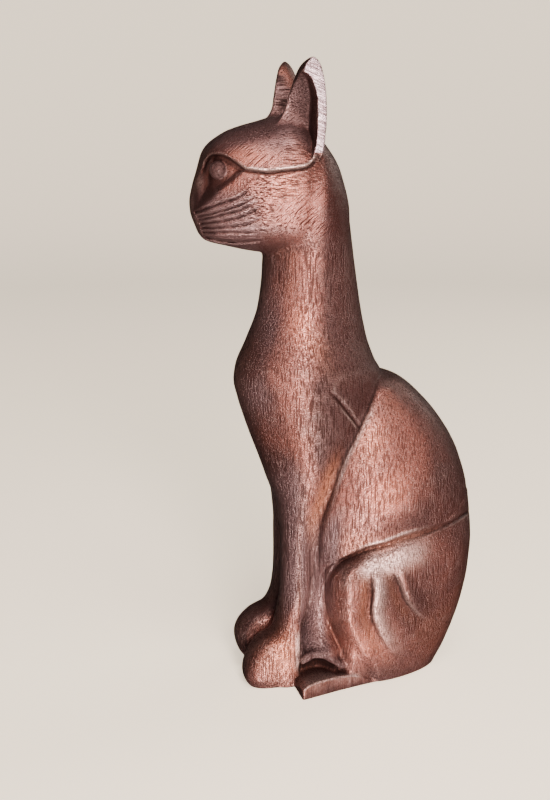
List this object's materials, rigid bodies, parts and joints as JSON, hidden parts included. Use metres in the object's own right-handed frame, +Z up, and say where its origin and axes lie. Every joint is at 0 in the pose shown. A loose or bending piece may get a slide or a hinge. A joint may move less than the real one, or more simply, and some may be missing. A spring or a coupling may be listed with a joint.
{
  "type": "seated cat figure",
  "caption": "Slender seated cat carved from one block of wood and rubbed to a copper-brown sheen, sitting upright on its own flat underside.",
  "frame": {"origin": "centre of the figure's bounding box on the plane that it stands on", "axes": "+Z up, the cat faces -Y, its left side is +X"},
  "size_m": [0.0804, 0.1418, 0.2995],
  "materials": {
    "rubbed_wood": "hand-sanded hardwood rubbed with a copper-bronze metallic wax, dark in the pores and cuts, worn pinkish on the edges, satin sheen"
  },
  "bodies": {
    "root": {"cat_figure": "rubbed_wood"}
  },
  "joints": []
}
